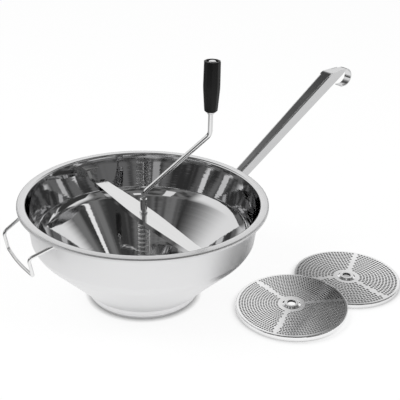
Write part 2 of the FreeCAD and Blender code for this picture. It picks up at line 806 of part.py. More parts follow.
def make_handle():
    sections = [
        channel_section("root_section", HANDLE_ROOT, "dims.handle_root_width",
                        "dims.handle_root_depth"),
        channel_section("end_section", HANDLE_END, "dims.handle_end_width",
                        "dims.handle_end_depth"),
    ]
    channel = doc.addObject("Part::Loft", "channel")
    channel.Sections = sections
    channel.Solid = True
    channel.Ruled = True

    bend = "(dims.rim_radius + (dims.handle_flat_height - dims.handle_rim_height)" \
           " / tan(dims.handle_slope))"
    flange_low = "%s - dims.handle_end_depth" % web_height(FLANGE_END)
    beyond = HANDLE_END + " + dims.hook_radius"
    start = "%s - dims.hook_lap" % bend
    above = "dims.handle_flat_height + 2 * dims.handle_end_depth"
    below = "dims.handle_flat_height - 2 * dims.handle_end_depth"
    waste_line = [
        (start, web_height("(%s)" % start)),
        (bend, "dims.handle_flat_height"),
        (FLANGE_END + " + dims.handle_flange_fade", "dims.handle_flat_height"),
        (FLANGE_END, flange_low),
        (FLANGE_END, below),
        (beyond, below),
        (beyond, above),
        (start, above),
    ]
    section = outline("waste_line", waste_line, {1: "dims.hook_root_bend"})
    width = "4 * dims.handle_end_width"
    waste = extruded("handle_waste", section, Vector(0, 1, 0), width, True)
    body = cut("channel_trimmed", channel, waste)

    low = "dims.handle_flat_height - 2 * dims.hook_radius"
    hook_line = [
        (start, web_height("(%s)" % start)),
        (bend, "dims.handle_flat_height"),
        (HOOK_REACH + " + dims.hook_radius", "dims.handle_flat_height"),
        (HOOK_REACH + " + dims.hook_radius", low),
        (HOOK_REACH + " - dims.hook_tail", low),
    ]
    curl = "dims.hook_curl"
    rounds = {1: "dims.hook_root_bend", 2: curl, 3: curl}
    hook_path = outline("hook_line", hook_line, rounds, closed=False)
    hook_skin = thickened("hook_skin", hook_path, "-dims.handle_sheet")
    strip = extruded("hook_strip", hook_skin, Vector(0, 1, 0), width, True)
    root_half = "dims.hook_root_width / 2"
    tip_half = "dims.hook_tip_width / 2"
    tip = HOOK_REACH + " + 2 * dims.hook_radius"
    plan_start = "%s - dims.hook_lap" % start
    plan_line = [
        (plan_start, root_half),
        (plan_start, "-" + root_half),
        (bend, "-" + root_half),
        (HOOK_REACH, "-" + tip_half),
        (tip, "-" + tip_half),
        (tip, tip_half),
        (HOOK_REACH, tip_half),
        (bend, root_half),
    ]
    plan = outline("hook_plan", plan_line, rotation=PLAN, height=below)
    form = extruded("hook_form", plan, Vector(0, 0, 1), "4 * dims.handle_end_depth")
    hook = common("hook", [strip, form])
    whole = fused("handle_blank", [body, hook])

    saddle_outside = "dims.wall + 2 * dims.seat_gap + dims.saddle_sheet"
    inside = doc.addObject("Part::Cone", "wall_side")
    foot = "dims.crease_height"
    bind(inside, Radius1=wall_radius(foot, saddle_outside),
         Radius2=wall_radius("dims.rim_height", saddle_outside),
         Height="dims.rim_height - dims.crease_height")
    place(inside, z=foot)
    handle = piece(cut("long_handle", whole, inside), "handle")
    place(handle, turn="dims.handle_azimuth")

    near = "dims.wall + dims.seat_gap"
    far = near + " + dims.saddle_sheet"
    saddle_line = [
        (wall_radius("dims.saddle_bottom", near), "dims.saddle_bottom"),
        (wall_radius("dims.saddle_bottom", far), "dims.saddle_bottom"),
        (wall_radius("dims.saddle_top", far), "dims.saddle_top"),
        (wall_radius("dims.saddle_top", near), "dims.saddle_top"),
    ]
    saddle = revolved("saddle", outline("saddle_section", saddle_line), "dims.saddle_angle")
    place(piece(saddle, "handle_saddle"), turn="dims.handle_azimuth - dims.saddle_angle / 2")


# --------------------------------------------------------------------------------------
# Wire loop that rests the bowl on the edge of a pan
# --------------------------------------------------------------------------------------
def rounded_wire(points, radii):
    """Wire of straight runs joined by arcs of the given radii at the inner points."""
    edges = []
    start = points[0]
    for index in range(1, len(points) - 1):
        corner = points[index]
        before = (points[index - 1] - corner).normalize()
        after = (points[index + 1] - corner).normalize()
        half = before.getAngle(after) / 2
        reach = radii[index - 1] / math.tan(half)
        enter = corner + before * reach
        leave = corner + after * reach
        bisector = (before + after).normalize()
        middle = corner + bisector * (radii[index - 1] / math.sin(half) - radii[index - 1])
        edges.append(Part.LineSegment(start, enter).toShape())
        edges.append(Part.Arc(enter, middle, leave).toShape())
        start = leave
    edges.append(Part.LineSegment(start, points[-1]).toShape())
    return Part.Wire(edges)


PAD_TOP = "(dims.loop_root_height + dims.loop_pad_height / 2)"
PAD_INNER = wall_radius(PAD_TOP, "dims.wall + dims.seat_gap")


def make_loop():
    """Bent wire in the plane X out of the wall, Y along it, turned to its place last."""
    root_reach = value(PAD_INNER) + size("loop_pad_sheet") / 2
    root_angle = math.radians(size("loop_root_angle"))
    bottom = size("loop_corner_height") - size("loop_drop")
    corner_reach = size("rim_radius") + size("loop_overhang")
    inset = corner_reach - size("loop_drop_inset")
    half = size("loop_corner_half")

    def mirrored(side):
        root = Vector(root_reach * math.cos(root_angle), side * root_reach * math.sin(root_angle),
                      size("loop_root_height"))
        shoulder = Vector(corner_reach, side * half, size("loop_corner_height"))
        low = Vector(inset, side * half, bottom)
        return [root, shoulder, low]

    middle = Vector(inset + size("loop_bulge"), 0, bottom)
    route = mirrored(-1) + [middle] + mirrored(1)[::-1]
    radii = [size("loop_corner_bend"), size("loop_low_bend"), size("loop_bulge_bend"),
             size("loop_low_bend"), size("loop_corner_bend")]
    path = doc.addObject("Part::Feature", "loop_line")
    path.Shape = rounded_wire(route, radii)
    direction = (route[1] - route[0]).normalize()
    section = doc.addObject("Part::Circle", "loop_section")
    bind(section, Radius="dims.loop_wire")
    section.Placement = FreeCAD.Placement(route[0], FreeCAD.Rotation(Vector(0, 0, 1), direction))
    doc.recompute()
    wire = doc.addObject("Part::Sweep", "loop_sweep")
    wire.Sections = [section]
    wire.Spine = (path, ["Edge%d" % (n + 1) for n in range(len(path.Shape.Edges))])
    wire.Solid = True
    pads = [make_pad("pad_a", "dims.loop_root_angle"), make_pad("pad_b", "-dims.loop_root_angle")]
    loop = piece(fused("loop", [wire] + pads), "rest_loop")
    place(loop, turn="dims.loop_azimuth")


def make_pad(name, angle):
    """Flattened end of the wire, welded under the brim."""
    half = "dims.loop_pad_width / 2"
    x = "%s * cos(%s) + %s * sin(%s)" % (PAD_INNER, angle, half, angle)
    y = "%s * sin(%s) - %s * cos(%s)" % (PAD_INNER, angle, half, angle)
    return box(name, "dims.loop_pad_sheet", "dims.loop_pad_width", "dims.loop_pad_height",
               x=x, y=y, z="dims.loop_root_height - dims.loop_pad_height / 2", turn=angle)


# --------------------------------------------------------------------------------------
# Build, check and write
# --------------------------------------------------------------------------------------
make_bowl()
make_discs()
make_crossbar()
make_lug("back_lug", "0")
make_lug("front_lug", "180")
make_crank()
make_rotor()
make_spring()
make_grip()
make_handle()
make_loop()
doc.recompute()

for item in doc.Objects:
    if "Invalid" in item.State or "Error" in item.State:
        raise RuntimeError("%s (%s) failed: %s" % (item.Name, item.Label, item.State))
for item in nodes:
    shape = item.Shape
    if shape.isNull() or not shape.isValid():
        raise RuntimeError("%s has no valid shape" % item.Label)
    if len(shape.Solids) != 1:
        raise RuntimeError("%s is %d solids" % (item.Label, len(shape.Solids)))

os.makedirs("parts", exist_ok=True)
for item in nodes:
    item.Shape.exportStep(os.path.join("parts", item.Label + ".step"))
    low = item.Shape.BoundBox
    print("%-20s volume %9.1f  x %7.1f %7.1f  y %7.1f %7.1f  z %6.1f %6.1f" % (
        item.Label, item.Shape.Volume, low.XMin, low.XMax, low.YMin, low.YMax, low.ZMin, low.ZMax))
print("%d sub-parts written" % len(nodes))
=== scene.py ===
# %% [markdown]
# # A large hand-cranked food strainer
# A strainer like this presses cooked tomatoes through a perforated disc. It has a spun steel
# bowl, a crossbar that holds a bent crank, a spring and a rotor, a long channel handle and a
# wire rest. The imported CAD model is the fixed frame, and this lesson gives it its looks.

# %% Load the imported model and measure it
import math
from functools import reduce

import bpy
from mathutils import Matrix, Quaternion, Vector


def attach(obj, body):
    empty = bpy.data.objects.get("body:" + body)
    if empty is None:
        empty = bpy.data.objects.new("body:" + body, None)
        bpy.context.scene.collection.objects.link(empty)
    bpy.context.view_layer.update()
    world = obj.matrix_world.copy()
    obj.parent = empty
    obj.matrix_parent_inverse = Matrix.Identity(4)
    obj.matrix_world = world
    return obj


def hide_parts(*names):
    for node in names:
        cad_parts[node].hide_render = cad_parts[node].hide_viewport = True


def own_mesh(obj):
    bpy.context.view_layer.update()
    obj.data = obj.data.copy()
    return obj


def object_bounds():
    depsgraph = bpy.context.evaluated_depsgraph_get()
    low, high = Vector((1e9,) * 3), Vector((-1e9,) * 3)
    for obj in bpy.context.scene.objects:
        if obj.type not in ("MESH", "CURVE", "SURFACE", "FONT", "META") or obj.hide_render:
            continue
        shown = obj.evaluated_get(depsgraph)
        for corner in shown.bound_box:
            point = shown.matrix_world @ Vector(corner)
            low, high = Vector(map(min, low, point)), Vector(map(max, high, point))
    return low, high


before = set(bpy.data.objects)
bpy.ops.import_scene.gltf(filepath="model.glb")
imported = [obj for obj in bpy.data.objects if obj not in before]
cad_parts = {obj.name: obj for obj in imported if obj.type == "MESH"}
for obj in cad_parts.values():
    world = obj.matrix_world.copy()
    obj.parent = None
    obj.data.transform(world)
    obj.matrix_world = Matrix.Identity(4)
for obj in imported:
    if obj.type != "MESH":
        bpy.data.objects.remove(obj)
cad_box = [list(corner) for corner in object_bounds()]
MM = 0.001
print("CAD box in metres:", [[round(value, 4) for value in corner] for corner in cad_box])

# %% [markdown]
# The camera stands 1.2 m in front of the bowl and looks down at the rim. A camera's own axes
# are right, up and backwards, so its rotation is built from those three directions. The
# slight roll is that of a camera held by hand.

# %% Camera
CAMERA_PLACE = Vector((0, -1.2, 0.7321))
CAMERA_YAW = math.radians(3.98)
CAMERA_PITCH = math.radians(25.6)
CAMERA_ROLL = math.radians(-1.71)
CAMERA_LENS = 80.94
CAMERA_SENSOR = 36


def camera_rotation(yaw, pitch, roll):
    """Rotation of a camera that looks along +Y, turned to the right, dipped and rolled."""
    ahead = Vector((math.sin(yaw) * math.cos(pitch), math.cos(yaw) * math.cos(pitch),
                    -math.sin(pitch)))
    level = Vector((math.cos(yaw), -math.sin(yaw), 0))
    down = ahead.cross(level)
    right = math.cos(roll) * level + math.sin(roll) * down
    up = math.sin(roll) * level - math.cos(roll) * down
    return Matrix((right, up, -ahead)).transposed().to_euler()


bpy.ops.object.camera_add(location=CAMERA_PLACE,
                          rotation=camera_rotation(CAMERA_YAW, CAMERA_PITCH, CAMERA_ROLL))
camera = bpy.context.object
camera.name = "strainer_camera"
camera.data.lens = CAMERA_LENS
camera.data.sensor_width = CAMERA_SENSOR
bpy.context.scene.camera = camera
bpy.context.scene.view_settings.view_transform = "Standard"
print("camera at", tuple(round(value, 3) for value in camera.location), "lens", CAMERA_LENS)

# %% [markdown]
# The world and every material below are trees of nodes, and most of those nodes do plain
# sums. Each helper here adds a node or two, feeds the inputs from sockets or from numbers and
# returns the output, so a rule can be written much as it would be on paper.

# %% Helpers for sums


def add_node(tree, kind, **settings):
    """New node in a tree, with its plain settings."""
    node = tree.nodes.new(kind)
    for name, setting in settings.items():
        setattr(node, name, setting)
    return node


def feed(tree, source, socket):
    """Link an input to a socket, or set it to a number."""
    if isinstance(source, (int, float)):
        socket.default_value = source
    else:
        tree.links.new(source, socket)


def math_node(tree, operation, *sources):
    """Math node fed by sockets or numbers; returns its output."""
    node = add_node(tree, "ShaderNodeMath", operation=operation)
    for source, socket in zip(sources, node.inputs):
        feed(tree, source, socket)
    return node.outputs[0]


def times(tree, *sources):
    """Product of two or more sockets and numbers."""
    return reduce(lambda first, second: math_node(tree, "MULTIPLY", first, second), sources)


def plus(tree, *sources):
    """Sum of two or more sockets and numbers."""
    return reduce(lambda first, second: math_node(tree, "ADD", first, second), sources)


def most(tree, *sources):
    """Greatest of two or more sockets and numbers."""
    return reduce(lambda first, second: math_node(tree, "MAXIMUM", first, second), sources)


def minus(tree, first, second):
    """Difference of two sockets or numbers."""
    return math_node(tree, "SUBTRACT", first, second)


def wrap(tree, angle, half):
    """Angle brought between minus half and half."""
    return math_node(tree, "WRAP", angle, half, -half)


def ramp(tree, source, low, high, start=0.0, end=1.0):
    """Smooth step from start, where the source is low, to end, where it is high."""
    node = add_node(tree, "ShaderNodeMapRange", interpolation_type="SMOOTHSTEP")
    names = ("Value", "From Min", "From Max", "To Min", "To Max")
    for name, setting in zip(names, (source, low, high, start, end)):
        feed(tree, setting, node.inputs[name])
    return node.outputs[0]


print("helpers for sums ready")

# %% [markdown]
# Places, directions and normals are vectors. They are taken apart, put together and measured
# with a few more helpers. The last ones add noise, mix shaders and write a plain grey.

# %% Helpers for vectors, noise and shaders


def axes(tree, vector):
    """X, Y and Z of a vector socket."""
    node = add_node(tree, "ShaderNodeSeparateXYZ")
    tree.links.new(vector, node.inputs[0])
    return node.outputs


def combine(tree, *parts):
    """Vector from three sockets or numbers."""
    node = add_node(tree, "ShaderNodeCombineXYZ")
    for part, socket in zip(parts, node.inputs):
        feed(tree, part, socket)
    return node.outputs[0]


def vector_math(tree, operation, *vectors):
    """Vector Math node fed by sockets; returns its outputs."""
    node = add_node(tree, "ShaderNodeVectorMath", operation=operation)
    for vector, socket in zip(vectors, node.inputs):
        tree.links.new(vector, socket)
    return node.outputs


def length_of(tree, x, y):
    """Length of a flat vector given by two sockets."""
    return vector_math(tree, "LENGTH", combine(tree, x, y, 0.0))["Value"]


def noise(tree, vector, scale, detail=2.0):
    """Noise from 0 to 1 at a vector socket."""
    node = add_node(tree, "ShaderNodeTexNoise")
    node.inputs["Scale"].default_value = scale
    node.inputs["Detail"].default_value = detail
    tree.links.new(vector, node.inputs["Vector"])
    return node.outputs["Fac"]


def mix_shaders(tree, factor, first, second):
    """First shader where the factor is 0, second where it is 1."""
    node = add_node(tree, "ShaderNodeMixShader")
    for source, socket in zip((factor, first, second), node.inputs):
        tree.links.new(source, socket)
    return node.outputs[0]


def grey(value):
    """Plain grey as a colour socket takes it."""
    return (value, value, value, 1)


print("helpers for vectors, noise and shaders ready")

# %% [markdown]
# Polished steel has no look of its own: it shows the room. A studio for metal therefore has
# pale walls that fade into a dark ceiling, lower on one side than on the other. A dark gap
# between the table and the walls outlines every bend, and it is taller on the right. The side
# behind the camera is unlit and cluttered, and small lamps draw the bright streaks. The world
# paints that room for reflections only. The camera sees plain white, and the diffuse light is
# even.

# %% What the room is like
# brightness of each part
WALL_LIGHT = 0.90
CEILING_DARK = 0.04
FRONT_DARK = 0.07
GAP_DARK = 0.05
CLUTTER_DARK = 0.045
CLUTTER_LIGHT = 0.20
AMBIENT = 0.75
# directions and widths in degrees
FADE_START = 29
FADE_END = 49
FADE_LOPSIDED = 8
FRONT_HALF = 62
FRONT_SOFT = 8
GAP_LOW = -8
GAP_LOW_SOFT = 1
GAP_HIGH = 9
GAP_TALL = 25
GAP_TALL_AT = -5
GAP_TALL_HALF = 15
GAP_TALL_END = 30
GAP_SOFT = 4
PANEL_SOFT = 1.5
# size of the clutter, and the levels of its noise at which it is dark and light
CLUTTER_SCALE = 4.5
CLUTTER_LEVELS = (0.38, 0.62)
PANELS = [
    # azimuth and elevation of the middle, half width and half height in degrees, brightness
    (-6, 47, 2.0, 3.5, 1.0),
    (-100, 78, 12, 4, 0.9),
    (-54, 36, 4, 5, 0.7),
    (-81.5, 50, 4.5, 3, 0.95),
    (-122, 42, 5, 10, 0.85),
    (38, 76.5, 12, 2.5, 0.5),
]
print("room with", len(PANELS), "panels")

# %% [markdown]
# A mirrored ray leaves in some direction, which gives an azimuth and an elevation. Each part
# of the room is a smooth step of those two angles. Shaded parts multiply the light, and lamps
# and clutter set the least light that their place can have.

# %% World: white for the eye, a studio room for reflections


def room_walls(tree, azimuth, elevation):
    """Pale walls that fade into the ceiling and are unlit behind the camera."""
    lopsided = times(tree, math_node(tree, "COSINE", azimuth), -math.radians(FADE_LOPSIDED))
    fade_end = plus(tree, lopsided, math.radians(FADE_END))
    lit = ramp(tree, elevation, math.radians(FADE_START), fade_end, WALL_LIGHT, CEILING_DARK)
    off_front = math_node(tree, "ABSOLUTE",
                          wrap(tree, plus(tree, azimuth, math.pi / 2), math.pi))
    front = ramp(tree, off_front, math.radians(FRONT_HALF - FRONT_SOFT),
                 math.radians(FRONT_HALF + FRONT_SOFT), FRONT_DARK, 1.0)
    return times(tree, lit, front)


def room_gap(tree, azimuth, elevation):
    """Share of the light that is left in the dark gap, 1 outside it."""
    toward = math_node(tree, "COSINE", minus(tree, azimuth, math.radians(GAP_TALL_AT)))
    top = ramp(tree, toward, math.cos(math.radians(GAP_TALL_END)),
               math.cos(math.radians(GAP_TALL_HALF)),
               math.radians(GAP_HIGH), math.radians(GAP_TALL))
    above = ramp(tree, elevation, top, plus(tree, top, math.radians(GAP_SOFT)))
    below = ramp(tree, elevation, math.radians(GAP_LOW - GAP_LOW_SOFT),
                 math.radians(GAP_LOW), 1, 0)
    return ramp(tree, most(tree, above, below), 0, 1, GAP_DARK, 1.0)


def room_panel(tree, azimuth, elevation, middle_az, middle_el, half_az, half_el, strength):
    """Soft-edged bright patch in the room, as a socket."""
    turn = wrap(tree, minus(tree, azimuth, math.radians(middle_az)), math.pi)
    rise = minus(tree, elevation, math.radians(middle_el))
    inside = [ramp(tree, math_node(tree, "ABSOLUTE", off), math.radians(half),
                   math.radians(half + PANEL_SOFT), 1, 0)
              for off, half in ((turn, half_az), (rise, half_el))]
    return times(tree, *inside, strength)


def build_world():
    world = bpy.data.worlds.new("studio_room")
    bpy.context.scene.world = world
    world.use_nodes = True
    tree = world.node_tree
    tree.nodes.clear()
    way = add_node(tree, "ShaderNodeTexCoord").outputs["Generated"]
    x, y, z = axes(tree, way)
    azimuth = math_node(tree, "ARCTAN2", y, x)
    elevation = math_node(tree, "ARCSINE", z)
    clutter = ramp(tree, noise(tree, way, CLUTTER_SCALE), *CLUTTER_LEVELS,
                   CLUTTER_DARK, CLUTTER_LIGHT)
    room = most(tree, room_walls(tree, azimuth, elevation), clutter)
    room = times(tree, room, room_gap(tree, azimuth, elevation))
    room = most(tree, room, *[room_panel(tree, azimuth, elevation, *panel) for panel in PANELS])
    shown, even, white = (add_node(tree, "ShaderNodeBackground") for _ in range(3))
    tree.links.new(room, shown.inputs["Color"])
    even.inputs["Strength"].default_value = AMBIENT
    white.inputs["Color"].default_value = grey(1)
    path = add_node(tree, "ShaderNodeLightPath").outputs
    gloss = most(tree, path["Is Glossy Ray"], path["Is Transmission Ray"])
    lighting = mix_shaders(tree, gloss, even.outputs[0], shown.outputs[0])
    seen = mix_shaders(tree, path["Is Camera Ray"], lighting, white.outputs[0])
    output = add_node(tree, "ShaderNodeOutputWorld")
    tree.links.new(seen, output.inputs["Surface"])
    return world


print("world:", build_world().name)

# %% [markdown]
# The floor is a wide round sheet of pale card. It glows a little for the eye and for
# reflections, so that it reads as white. An ambient occlusion node takes the glow away under
# the object, so the floor keeps its contact shadow and the holes of the discs look dark. In
# reflections the card also fades to both sides, which draws dark lines along rods and wire.

# %% Floor
FLOOR_RADIUS = 4
FLOOR_SIDES = 96
FLOOR_CARD = 0.85
FLOOR_GLOW = 0.86
FLOOR_SHADE = 0.18
SHADOW_REACH = 0.011
SHADOW_GLOW = 0.12
SHADOW_SAMPLES = 6
CARD_FADE = [
    # way along X, where the fade starts and ends in metres, share of the glow left past it
    (-1, 0.20, 0.60, 0.30),
    (1, 0.20, 0.50, 0.78),
]


def floor_material():
    material = bpy.data.materials.new("pale_card")
    material.use_nodes = True
    tree = material.node_tree
    tree.nodes.clear()
    lit, shade = (add_node(tree, "ShaderNodeBsdfDiffuse") for _ in range(2))
    lit.inputs["Color"].default_value = grey(FLOOR_CARD)
    shade.inputs["Color"].default_value = grey(FLOOR_SHADE)
    along = axes(tree, add_node(tree, "ShaderNodeTexCoord").outputs["Object"])["X"]
    faded = [ramp(tree, times(tree, along, way), start, end, 1.0, least)
             for way, start, end, least in CARD_FADE]
    path = add_node(tree, "ShaderNodeLightPath").outputs
    card = most(tree, path["Is Camera Ray"], times(tree, *faded))
    open_sky = add_node(tree, "ShaderNodeAmbientOcclusion", samples=SHADOW_SAMPLES)
    open_sky.inputs["Distance"].default_value = SHADOW_REACH
    shadow = ramp(tree, open_sky.outputs["AO"], 0.0, 1.0, SHADOW_GLOW, 1.0)
    glow = add_node(tree, "ShaderNodeEmission")
    tree.links.new(times(tree, card, FLOOR_GLOW, shadow), glow.inputs["Strength"])
    glowing = add_node(tree, "ShaderNodeAddShader")
    tree.links.new(glow.outputs[0], glowing.inputs[0])
    tree.links.new(shade.outputs[0], glowing.inputs[1])
    eye = most(tree, path["Is Camera Ray"], path["Is Glossy Ray"], path["Is Transmission Ray"])
    output = add_node(tree, "ShaderNodeOutputMaterial")
    tree.links.new(mix_shaders(tree, eye, lit.outputs[0], glowing.outputs[0]),
                   output.inputs["Surface"])
    return material


bpy.ops.object.select_all(action="DESELECT")
bpy.ops.mesh.primitive_circle_add(vertices=FLOOR_SIDES, radius=FLOOR_RADIUS, fill_type="NGON",
                                  location=(0, 0, cad_box[0][2]))
floor = bpy.context.object
floor.name = "floor"
floor.data.materials.append(floor_material())
print("floor radius", FLOOR_RADIUS, "m")

# %% [markdown]
# Two broad lamps, one on each side and both a little in front, light the floor and the
# grip. They are hidden from reflections, because the room already has its own lamps there.

# %% Lamps
LAMP_AIM = Vector((0.1, 0, 0.1))
LAMPS = [
    # name, place, size in metres and power in watts
    ("lamp_left", (-1.6, -0.6, 2.0), 1.2, 16),
    ("lamp_right", (1.8, -1.0, 1.9), 1.0, 10),
]

for name, place, width, power in LAMPS:
    bpy.ops.object.light_add(type="AREA", location=place)
    lamp = bpy.context.object
    lamp.name = name
    lamp.data.size = width
    lamp.data.energy = power
    lamp.rotation_euler = (LAMP_AIM - Vector(place)).to_track_quat("-Z", "Y").to_euler()
    lamp.visible_glossy = False
print(len(LAMPS), "lamps")

# %% [markdown]
# Steel sheet is never a perfect mirror. Spinning leaves rings round the bowl, rolling leaves
# straight hair lines, and hands leave faint smudges. Each of these is one node group with its
# own inputs, so every steel below can use it in its own strength.

# %% Shared effects: how a group is begun


def new_group(name, numbers, outputs):
    """Group with a vector and numbers as inputs; returns it, what it is given and gives."""
    group = bpy.data.node_groups.new(name, "ShaderNodeTree")
    sockets = [("Vector", "INPUT", "NodeSocketVector")]
    sockets += [(label, "INPUT", "NodeSocketFloat") for label in numbers]
    sockets += [(label, "OUTPUT", "NodeSocketFloat") for label in outputs]
    for label, side, kind in sockets:
        group.interface.new_socket(name=label, in_out=side, socket_type=kind)
    given = group.nodes.new("NodeGroupInput").outputs
    return group, given, group.nodes.new("NodeGroupOutput").inputs


print("group helper ready")

# %% [markdown]
# A grain is noise that is squeezed until it turns into lines. Squeezed along the radius and
# the height, it gives rings. Squeezed across a direction, it gives hair lines. Each grain has
# a fine layer for the bump and a slow one for the tone.

# %% Shared effects: turned grain and straight grain
FINE_DETAIL = 3.0
SLOW_DETAIL = 1.0
SLOW_RINGS = 60.0
RING_SWEEP = 3.0
HAIRS_ALONG = 40.0
SLOW_LINES = 150.0
SLOW_ALONG = 8.0


def build_turned_grain():
    """Fine rings about the Z axis, as a lathe tool or a polishing pad leaves them."""
    group, given, out = new_group("turned_grain", ["Rings per metre"], ["Height", "Tone"])
    x, y, z = axes(group, given["Vector"])
    radius = length_of(group, x, y)
    sweep = times(group, math_node(group, "SINE", math_node(group, "ARCTAN2", y, x)), RING_SWEEP)
    for label, rings, detail in (("Height", given["Rings per metre"], FINE_DETAIL),
                                 ("Tone", SLOW_RINGS, SLOW_DETAIL)):
        lay = combine(group, times(group, radius, rings), times(group, z, rings), sweep)
        group.links.new(noise(group, lay, 1.0, detail), out[label])
    return group


def build_straight_grain():
    """Long hair lines along the X of the vector, as rolled and brushed sheet has."""
    group, given, out = new_group("straight_grain", ["Lines per metre"], ["Height", "Tone"])
    x, y, z = axes(group, given["Vector"])
    for label, along, lines, detail in (
            ("Height", HAIRS_ALONG, given["Lines per metre"], FINE_DETAIL),
            ("Tone", SLOW_ALONG, SLOW_LINES, SLOW_DETAIL)):
        lay = combine(group, times(group, x, along), times(group, y, lines),
                      times(group, z, lines))
        group.links.new(noise(group, lay, 1.0, detail), out[label])
    return group


TURNED = build_turned_grain()
STRAIGHT = build_straight_grain()
print("groups:", TURNED.name, STRAIGHT.name)

# %% [markdown]
# Handling leaves smudges of grease, fine scratches where the steel is worn, and slow waves in
# sheet that was pressed. The scratches are the thin borders between the cells of a Voronoi
# pattern, stretched and turned so that they don't look like cells.

# %% Shared effects: handling marks
SMUDGE_SCALE = 22.0
SMUDGE_DETAIL = 4.0
SMUDGE_LEVELS = (0.45, 0.75)
WORN_LEVELS = (0.5, 0.6)
SCRATCH_SCALE = 35.0
SCRATCH_WIDTH = 0.006
SCRATCH_STRETCH = (1.0, 0.25, 0.6)
SCRATCH_TURN = (0.4, 0.9, 0.7)
WAVE_SCALE = 14.0


def build_handling():
    """Smudges, fine scratches and the slow waves of pressed sheet."""
    group, given, out = new_group("handling_marks", [], ["Smudges", "Scratches", "Waves"])
    smudge = noise(group, given["Vector"], SMUDGE_SCALE, SMUDGE_DETAIL)
    group.links.new(ramp(group, smudge, *SMUDGE_LEVELS), out["Smudges"])
    bent = add_node(group, "ShaderNodeMapping")
    bent.inputs["Scale"].default_value = SCRATCH_STRETCH
    bent.inputs["Rotation"].default_value = SCRATCH_TURN
    group.links.new(given["Vector"], bent.inputs["Vector"])
    cells = add_node(group, "ShaderNodeTexVoronoi", feature="DISTANCE_TO_EDGE")
    cells.inputs["Scale"].default_value = SCRATCH_SCALE
    group.links.new(bent.outputs[0], cells.inputs["Vector"])
    thin = ramp(group, cells.outputs["Distance"], 0.0, SCRATCH_WIDTH, 1.0, 0.0)
    worn = ramp(group, smudge, *WORN_LEVELS)
    group.links.new(times(group, thin, worn), out["Scratches"])
    group.links.new(noise(group, given["Vector"], WAVE_SCALE, SLOW_DETAIL), out["Waves"])
    return group


HANDLING = build_handling()
print("group:", HANDLING.name)

# %% [markdown]
# A material places the shared effects, turns smudges and grain into roughness, and turns
# grain and waves into a bump. These helpers do the steps that all of the materials share.

# %% Helpers for materials


def place_group(tree, group, vector, **values):
    """Shared effect placed in a material with its own values; returns its outputs."""
    node = add_node(tree, "ShaderNodeGroup", node_tree=group)
    tree.links.new(vector, node.inputs["Vector"])
    for name, setting in values.items():
        node.inputs[name.replace("_", " ")].default_value = setting
    return node.outputs


def mix_colour(tree, factor, first, second):
    """First colour where the factor is 0, second where it is 1; each a socket or a tuple."""
    node = add_node(tree, "ShaderNodeMix", data_type="RGBA")
    tree.links.new(factor, node.inputs["Factor"])
    # the colour sockets follow the float and vector ones
    sockets = [socket for socket in node.inputs if socket.type == "RGBA"]
    for colour, socket in zip((first, second), sockets):
        if isinstance(colour, tuple):
            socket.default_value = (*colour[:3], 1)
        else:
            tree.links.new(colour, socket)
    return [socket for socket in node.outputs if socket.type == "RGBA"][0]


def bump(tree, height, depth, below=None):
    """Bump of a depth in metres, stacked on another normal if one is given."""
    node = add_node(tree, "ShaderNodeBump")
    node.inputs["Strength"].default_value = 1.0
    node.inputs["Distance"].default_value = depth
    tree.links.new(height, node.inputs["Height"])
    if below is not None:
        tree.links.new(below, node.inputs["Normal"])
    return node.outputs["Normal"]


def centred_vector(tree, centre=(0, 0, 0), rotation=(0, 0, 0)):
    """Object coordinates in metres, measured from a centre on turned axes."""
    place = add_node(tree, "ShaderNodeTexCoord").outputs["Object"]
    node = add_node(tree, "ShaderNodeMapping", vector_type="TEXTURE")
    node.inputs["Location"].default_value = centre
    node.inputs["Rotation"].default_value = rotation
    tree.links.new(place, node.inputs["Vector"])
    return node.outputs[0]


def start_material(name, metallic=1.0):
    """New material; returns it, its tree and its shader."""
    material = bpy.data.materials.new(name)
    material.use_nodes = True
    tree = material.node_tree
    shader = tree.nodes["Principled BSDF"]
    shader.inputs["Metallic"].default_value = metallic
    return material, tree, shader


print("material helpers ready")

# %% [markdown]
# One function makes the steel of every sheet, bar and wire. What differs between them is only
# the numbers: how bright, how rough, how fine the hair lines are and how deep they go.

# %% Steel finishes
BRIGHT = (0.84, 0.84, 0.84)
SHEET = (0.72, 0.72, 0.725)
SHADED = (0.5, 0.5, 0.5)
DARKER = 0.93
PLAIN_SHARE = 0.75
GRAIN_SHARE = 0.5
SMUDGE_SHARE = 0.6
SMUDGE_ROUGH = 0.02
SCRATCH_ROUGH = 0.12
HANDLE_TURN = math.radians(37)
BAR_TURN = math.radians(121.5)


def steel(name, light, rough, lines=2600.0, grain_depth=2e-6, wave_depth=2e-5, turn=0.0):
    """Steel with a tone, a roughness, hair lines along a direction and slow waves."""
    material, tree, shader = start_material(name)
    vector = centred_vector(tree, rotation=(0, 0, turn))
    lay = place_group(tree, STRAIGHT, vector, Lines_per_metre=lines)
    marks = place_group(tree, HANDLING, vector)
    dark = tuple(value * DARKER for value in light)
    tree.links.new(mix_colour(tree, lay["Tone"], dark, light), shader.inputs["Base Color"])
    smudged = times(tree, marks["Smudges"], rough * SMUDGE_SHARE + SMUDGE_ROUGH)
    scratched = times(tree, marks["Scratches"], SCRATCH_ROUGH)
    grained = times(tree, lay["Height"], rough * GRAIN_SHARE)
    tree.links.new(plus(tree, smudged, scratched, grained, rough * PLAIN_SHARE),
                   shader.inputs["Roughness"])
    waves = bump(tree, marks["Waves"], wave_depth)
    tree.links.new(bump(tree, lay["Height"], grain_depth, waves), shader.inputs["Normal"])
    return material


